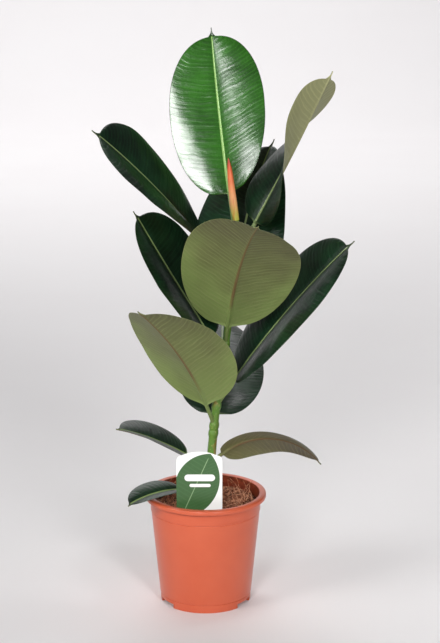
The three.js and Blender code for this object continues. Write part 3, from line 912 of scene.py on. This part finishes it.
def scatter(name, surface, shapes, values, material):
    """Shapes put on a surface's upward faces, turned and sized at random."""
    tree, start = geometry_tree(name, SCATTER_KEYS)
    given = {label: start.outputs[label] for label in SCATTER_KEYS}
    x, y, z = split(tree, add(tree, "GeometryNodeInputPosition").outputs[0])
    radius = (x**2.0 + y**2.0) ** 0.5
    keep = radius.to("LESS_THAN", (inside(soil_top) - Num(tree, given["Margin"])) * MM)
    keep = keep * z.to("GREATER_THAN", (soil_top - 8) * MM)
    keep = keep * y.to("GREATER_THAN", Num(tree, given["Front"]) * MM)
    spots = add(tree, "GeometryNodeDistributePointsOnFaces", {
        "Mesh": start.outputs["Geometry"],
        "Selection": keep,
        "Density": given["Density"],
        "Seed": given["Seed"],
    })
    turn = Num(tree, given["Tilt"]) * DEG
    low = vector(tree, turn * -1.0, turn * -1.0, 0.0)
    high = vector(tree, turn, turn, 2 * math.pi)
    spin = add(
        tree,
        "FunctionNodeRandomValue",
        {0: low, 1: high, "Seed": given["Seed"]},
        data_type="FLOAT_VECTOR",
    )
    size = add(
        tree,
        "FunctionNodeRandomValue",
        {2: given["Least"], 3: given["Most"], "Seed": given["Seed"]},
        data_type="FLOAT",
    )
    choices = add(tree, "GeometryNodeJoinGeometry")
    for shape in reversed(shapes):
        holder = link_object("shape", shape)
        info = add(tree, "GeometryNodeObjectInfo", {"Object": holder, "As Instance": True})
        tree.links.new(info.outputs["Geometry"], choices.inputs[0])
    copies = add(tree, "GeometryNodeInstanceOnPoints", {
        "Points": spots.outputs["Points"],
        "Instance": choices.outputs[0],
        "Pick Instance": True,
        "Rotation": spin.outputs[0],
        "Scale": size.outputs[1],
    })
    down = vector(tree, 0.0, 0.0, Num(tree, given["Sink"]) * MM * -1.0)
    sunk = add(
        tree,
        "GeometryNodeTranslateInstances",
        {"Instances": copies.outputs[0], "Translation": down, "Local Space": False},
    )
    real = add(tree, "GeometryNodeRealizeInstances", {"Geometry": sunk.outputs[0]})
    dressed = add(
        tree, "GeometryNodeSetMaterial", {"Geometry": real.outputs[0], "Material": material}
    )
    add(tree, "NodeGroupOutput", {0: dressed.outputs[0]})
    piece = grow(name, tree, values, surface.data.copy())
    for held in [o for o in bpy.data.objects if o.name.startswith("shape")]:
        bpy.data.objects.remove(held)
    piece.data.polygons.foreach_set("use_smooth", [True] * len(piece.data.polygons))
    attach(piece, "root")
    print(name, "has", len(piece.data.polygons), "faces")


lumps = [lump_of_peat("peat lump", 2.0), lump_of_peat("flat peat lump", 2.8)]
chips = [strand("coir chip", 6, 0.9, 0.5), strand("long coir chip", 9, 0.7, 1.0)]
standing = [strand("standing fibre", 32, 0.55, 5.0)]
for corner in standing[0].vertices:  # turned to run along Z
    corner.co = (-corner.co.z, corner.co.y, corner.co.x)
strands = [strand("short fibre", 9, 0.42, 1.4), strand("long fibre", 19, 0.32, 3.2)]
for name, shapes, material, *values in (
    ("peat_crumbs", lumps, peat, 46000, 4, 0.4, 1.7, 60, 0.2, 3.5, -100),
    ("coir_chips", chips, fibre, 15000, 7, 0.7, 1.3, 30, -1.5, 6, -100),
    ("standing_fibres", standing, fibre, 6500, 3, 0.7, 1.2, 28, -8.0, 8, -40),
    ("coir_fibres", strands, fibre, 95000, 11, 0.5, 1.2, 26, -1.2, 9, -100),
):
    scatter(name, soil, shapes, dict(zip(SCATTER_KEYS, values)), material)

# %% [markdown]
# ## Stem
#
# The stem is a skin over rings along its axis. It swells at each leaf's node, and a fine raised
# ring above each node is the scar that the bud's sheath left.

# %% Stem material
# Young bark: smooth green, with brown cork low down and small pale pores.
bark, tree, shader = new_material("green stem")
x, y, z = split(tree, place(tree))
high = (z / MM - SOIL_LEVEL) / STEM_HEIGHT
colour = blend(tree, noise(tree, 14, detail=2.0), "#457a27", "#6e8935")
brown = noise(tree, 18, detail=3.0, stretch=(1, 1, 0.5)).between(0.5, 0.62)
colour = blend(tree, brown * (1.0 - high.between(0.25, 0.6)) * 0.85, colour, "#a5733f")
specks = noise(tree, 1.5, detail=1.0, stretch=(1, 1, 0.4)).between(0.62, 0.7)
colour = blend(tree, specks * 0.5, colour, "#c3b070")
lines = noise(tree, 1.2, detail=3.0, stretch=(1, 1, 0.12))
plug(tree, shader, {
    "Base Color": colour,
    "Roughness": noise(tree, 5) * 0.15 + 0.42,
    "Normal": bump(tree, lines * 0.8 + specks * 0.5, 0.35),
})

# %% Loft the stem
STEM_BASE = 6.6
STEM_TOP = 4.2
NODE_SWELL = 1.1
NODE_REACH = 7.0
STEM_SIDES = 40
RING_STEP = 0.75
nodes = [values[1] for values in LEAVES.values()]


def loft(name, rings):
    """A closed skin over rings of points in millimetres."""
    count = len(rings[0])
    points = [tuple(p * MM for p in point) for ring in rings for point in ring]
    faces = []
    for k in range(len(rings) - 1):
        for i in range(count):
            j = (i + 1) % count
            a, b = k * count, (k + 1) * count
            faces.append((a + i, a + j, b + j, b + i))
    for ring, order in ((0, reversed), (len(rings) - 1, list)):
        middle = np.mean([np.array(p) for p in rings[ring]], axis=0) * MM
        points.append(tuple(middle))
        for i in order(range(count)):
            j = (i + 1) % count
            pair = (ring * count + i, ring * count + j)
            faces.append((*(pair if ring else pair[::-1]), len(points) - 1))
    return new_mesh(name, points, faces)


def stem_radius(height):
    share = max(0.0, height) / STEM_HEIGHT
    radius = STEM_BASE * (1 - share) + STEM_TOP * share
    swell, scar = 0.0, 0.0
    for node in nodes:
        away = abs(height - node) / NODE_REACH
        if away < 1:
            swell = max(swell, 0.5 + 0.5 * math.cos(math.pi * away))
        scar = max(scar, math.exp(-(((height - node - 3.5) / 0.7) ** 2)))
        scar = max(scar, 0.6 * math.exp(-(((height - node - 5.5) / 0.5) ** 2)))
    return radius + NODE_SWELL * swell + 0.35 * scar


rings = []
height = -STEM_BURIED
while height <= STEM_HEIGHT:
    centre, radius = stem_point(height), stem_radius(height)
    ring = []
    for i in range(STEM_SIDES):
        a = 2 * math.pi * i / STEM_SIDES
        r = radius * (1 + 0.025 * math.sin(3 * a + height * 0.01) + 0.012 * math.sin(5 * a))
        ring.append((centre.x + r * math.cos(a), centre.y + r * math.sin(a), centre.z))
    rings.append(ring)
    height += RING_STEP
stem = link_object("fine_stem", loft("stem", rings))
stem.data.materials.append(bark)
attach(stem, "root")
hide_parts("stem")
report(stem, "stem")

# %% [markdown]
# ## Bud sheath
#
# A long pointed sheath wraps the next leaf. One edge overlaps the other, which shows as a line
# that winds up it. Its colour runs from yellow-green at the foot to red at the point.

# %% Bud sheath
# Bud sheath: a thin waxy skin that light enters a little, so the colour glows softly.
sheath, tree, shader = new_material("bud sheath")
bud_low, bud_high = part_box("bud_sheath")
x, y, z = split(tree, place(tree))
share = (z - bud_low.z) / (bud_high.z - bud_low.z) + (noise(tree, 9) - 0.5) * 0.12
colour = blend(tree, share.between(0.0, 0.35), "#bcbd50", "#f6b47c")
colour = blend(tree, share.between(0.3, 0.75), colour, "#e97848")
colour = blend(tree, share.between(0.7, 1.0), colour, "#b3301c")
side_light = noise(tree, 4, detail=2.0, stretch=(1, 1, 0.1))
colour = blend(tree, side_light.between(0.5, 0.75) * 0.5, colour, "#c8452a")
plug(tree, shader, {
    "Base Color": colour,
    "Roughness": noise(tree, 5) * 0.1 + 0.35,
    "Normal": bump(tree, side_light, 0.3),
    "Subsurface Weight": 0.15,
    "Subsurface Radius": (0.004, 0.002, 0.001),
})
BUD_LENGTH = 86
BUD_RADIUS = 5
BUD_AZIMUTH = 184 * DEG
BUD_RISE = 81 * DEG
BUD_BEND = -4 * DEG
BUD_STEPS = 120
BUD_SIDES = 36
rings = []
centre = stem_point(STEM_HEIGHT)
for k in range(BUD_STEPS + 1):
    share = k / BUD_STEPS
    slope = BUD_RISE - BUD_BEND * share
    flat, climb = math.cos(slope), math.sin(slope)
    c, s = math.cos(BUD_AZIMUTH), math.sin(BUD_AZIMUTH)
    ahead = Vector((flat * c, flat * s, climb))
    if k:
        centre = centre + ahead * (BUD_LENGTH / BUD_STEPS)
    up = Vector((-climb * c, -climb * s, flat))
    side = ahead.cross(up)
    radius = BUD_RADIUS * (0.84 + 0.5 * share) * (1 - share * share) ** 0.8 + 0.3
    ring = []
    for i in range(BUD_SIDES):
        a = 2 * math.pi * i / BUD_SIDES
        overlap = ((a / (2 * math.pi) + share * 0.9) % 1.0) ** 6 * 0.7
        r = radius * (1 + 0.03 * math.sin(2 * a)) + overlap * min(1, radius / 3)
        ring.append(centre - side * (r * math.cos(a)) + up * (r * math.sin(a)))
    rings.append([tuple(p) for p in ring])
bud = link_object("fine_bud_sheath", loft("bud", rings))
bud.data.materials.append(sheath)
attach(bud, "root")
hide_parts("bud_sheath")
report(bud, "bud_sheath")

# %% [markdown]
# ## Label
#
# A white plastic card with a spike. The print is worked out from the spot's place on the card: a
# leaf shape where two circles overlap, a pale midrib, faint side veins and two plain white bars.

# %% Label card
LABEL_BURIED = 46
LABEL_TOP = label_high.z / MM
label_x = (label_low.x + label_high.x) / 2 / MM
label_y = (label_low.y + label_high.y) / 2 / MM
LABEL_HALF = (label_high.x - label_low.x) / 2 / MM
# Printed plastic card: bright white with flat print and a slight even gloss.
card, tree, shader = new_material("printed plastic card")
x, y, z = split(tree, place(tree))
across = x / MM - label_x
down = LABEL_TOP - z / MM


def disc(cx, cy, radius):
    """1 inside a circle on the card."""
    far = ((across - cx) ** 2.0 + (down - cy) ** 2.0) ** 0.5
    return 1.0 - far.between(radius - 0.15, radius + 0.15)


def bar(cx, cy, half_long, half_high):
    """1 inside a bar with round ends."""
    over = ((across - cx).to("ABSOLUTE") - (half_long - half_high)).to("MAXIMUM", 0.0)
    far = (over**2.0 + (down - cy) ** 2.0) ** 0.5
    return 1.0 - far.between(half_high - 0.15, half_high + 0.15)


left_side = disc(15.1, 51.4, 48.5).to("MAXIMUM", down.to("GREATER_THAN", 36.0))
leaf_shape = left_side * disc(-29.6, 38.8, 57.6)
rib_off = (across - 15.4 + (down - 2.7) * 0.44).to("ABSOLUTE")
on_rib = (1.0 - rib_off.between(0.3, 0.8)) * down.between(8.0, 12.0)
faint = vein_lines(down + rib_off * 0.5, 5.5, 6.0) * 0.12
print_green = blend(tree, noise(tree, 12), "#3c5f36", "#466c3f")
print_green = blend(tree, faint, print_green, "#6d9462")
print_green = blend(tree, on_rib * 0.8, print_green, "#9dbb8c")
colour = blend(tree, leaf_shape, "#fbfbf8", print_green)
words = bar(0.5, 37.6, 21.0, 4.8).to("MAXIMUM", bar(1.0, 48.6, 14.5, 2.3))
colour = blend(tree, words, colour, "#fbfbf8")
colour = blend(tree, y.to("GREATER_THAN", label_y * MM), colour, "#f4f4ef")
plug(tree, shader, {
    "Base Color": colour,
    "Roughness": noise(tree, 15) * 0.1 + 0.3,
    "Normal": bump(tree, noise(tree, 1.0), 0.02),
})

# %% Cut the card
LABEL_CORNER = 7
LABEL_CROWN = 6
LABEL_SPIKE = 8
LABEL_SHOULDER = 8
LABEL_SHOWING = 94  # how far the top stands above the mix
half_thick = (label_high.y - label_low.y) / 2 / MM


def curve_points(one, pull, two, steps=10):
    """Points of an even curve from one to two, drawn towards pull."""
    made = []
    for i in range(1, steps + 1):
        t = i / steps
        made.append(
            tuple(
                one[k] * (1 - t) ** 2 + 2 * pull[k] * t * (1 - t) + two[k] * t * t for k in (0, 1)
            )
        )
    return made


side_top = LABEL_SHOWING - LABEL_CROWN - LABEL_CORNER
arch_end = (LABEL_HALF - LABEL_CORNER, LABEL_SHOWING - LABEL_CROWN + 1)
outline = [(0, -LABEL_BURIED), (LABEL_SPIKE, -LABEL_BURIED + 12), (LABEL_SPIKE, -13)]
outline += [(LABEL_HALF, -LABEL_SHOULDER), (LABEL_HALF, side_top)]
outline += curve_points(outline[-1], (LABEL_HALF, LABEL_SHOWING - LABEL_CROWN), arch_end)
outline += curve_points(arch_end, (0, LABEL_SHOWING + LABEL_CROWN), (-arch_end[0], arch_end[1]), 24)
outline += curve_points(
    outline[-1], (-LABEL_HALF, LABEL_SHOWING - LABEL_CROWN), (-LABEL_HALF, side_top)
)
outline += [(-LABEL_HALF, -LABEL_SHOULDER), (-LABEL_SPIKE, -13), (-LABEL_SPIKE, 12 - LABEL_BURIED)]
count = len(outline)
points = [
    ((label_x + a) * MM, (label_y + d) * MM, (SOIL_LEVEL + b) * MM)
    for d in (-half_thick, half_thick)
    for a, b in outline
]
faces = [tuple(range(count)), tuple(reversed(range(count, 2 * count)))]
faces += [((i + 1) % count, i, count + i, count + (i + 1) % count) for i in range(count)]
label = link_object("fine_label", new_mesh("label", points, faces))
label.data.polygons.foreach_set("use_smooth", [False] * len(label.data.polygons))
edge = label.modifiers.new("eased edge", "BEVEL")
edge.width, edge.segments, edge.limit_method = 0.2 * MM, 2, "ANGLE"
settle(label)
label.data.materials.append(card)
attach(label, "root")
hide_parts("label")
report(label, "label")

# %% [markdown]
# ## Studio
#
# The plant stands on a wide pale paper floor that curves up far behind it. The paper is large
# enough that a camera on any side of the plant still stands inside the studio. Two soft lights
# stand in front, one on each side, one shines from the left, a small one from above, and a wide
# one hangs over the floor behind. A weak even light fills the shadows.

# %% Paper sweep
# Matt paper: it spreads light evenly and shows no reflections.
paper, tree, shader = new_material("pale paper")
colour = blend(tree, noise(tree, 400, detail=2.0), "#edeaeb", "#f0eeef")
plug(tree, shader, {
    "Base Color": colour,
    "Roughness": noise(tree, 60) * 0.05 + 0.9,
    "Normal": bump(tree, noise(tree, 2.0), 0.02),
})
# These sizes are metres.
WALL_Y = 5.6
CURVE = 1.2
REACH = 5.2
WALL_TOP = 4.2
CURVE_STEPS = 24
profile = [(-REACH, 0.0), (WALL_Y - CURVE, 0.0)]
for i in range(1, CURVE_STEPS + 1):
    a = math.pi / 2 * i / CURVE_STEPS
    profile.append((WALL_Y - CURVE + CURVE * math.sin(a), CURVE - CURVE * math.cos(a)))
profile.append((WALL_Y, WALL_TOP))
points = [(side, y, z) for side in (-REACH, REACH) for y, z in profile]
count = len(profile)
faces = [(i, count + i, count + i + 1, i + 1) for i in range(count - 1)]
sweep = link_object("paper_sweep", new_mesh("sweep", points, faces))
sweep.data.materials.append(paper)

# %% Lights
bpy.context.scene.view_settings.view_transform = "Standard"


def soft_light(name, spot, aim, width, height, power, spread=180):
    """A rectangular light, width by height metres and power watts, at spot and facing aim.

    Its beam is spread degrees wide.
    """
    lamp = bpy.data.lights.new(name, "AREA")
    lamp.shape = "RECTANGLE"
    lamp.size, lamp.size_y = width, height
    lamp.energy = power
    lamp.spread = spread * DEG
    made = bpy.data.objects.new(name, lamp)
    bpy.context.scene.collection.objects.link(made)
    made.location = spot
    made.rotation_euler = (Vector(aim) - Vector(spot)).to_track_quat("-Z", "Y").to_euler()
    return made


soft_light("side light", (-1.6, -0.9, 1.3), (0, 0.1, 0.72), 1.0, 0.7, 3.4, 50)
soft_light("front left light", (-0.5, -2.3, 1.35), (0, 0.2, 0.4), 0.5, 0.5, 26)
soft_light("front right light", (0.85, -2.2, 1.25), (0, 0.2, 0.4), 0.5, 0.5, 24)
soft_light("top light", (0.6, 0.3, 1.7), (0.03, 0.05, 0.3), 0.16, 0.16, 2.6)
soft_light("backdrop light", (-0.5, 3.65, 3.4), (-0.5, 3.85, 0), 5.0, 3.2, 142)
world = bpy.data.worlds.new("studio")
bpy.context.scene.world = world
world.use_nodes = True
world.node_tree.nodes["Background"].inputs["Color"].default_value = to_linear("#ffffff")
world.node_tree.nodes["Background"].inputs["Strength"].default_value = 0.1

# %% Camera
camera_data = bpy.data.cameras.new("camera")
camera = bpy.data.objects.new("camera", camera_data)
bpy.context.scene.collection.objects.link(camera)
CAMERA_SPOT = (0.0203, -2.5, 1.033)  # metres
LOOK_DOWN = 14.136  # degrees below level
camera.location = CAMERA_SPOT
camera.rotation_euler = ((90 - LOOK_DOWN) * DEG, 0, 0)
camera_data.sensor_width = 36
camera_data.lens = 105.2
bpy.context.scene.camera = camera
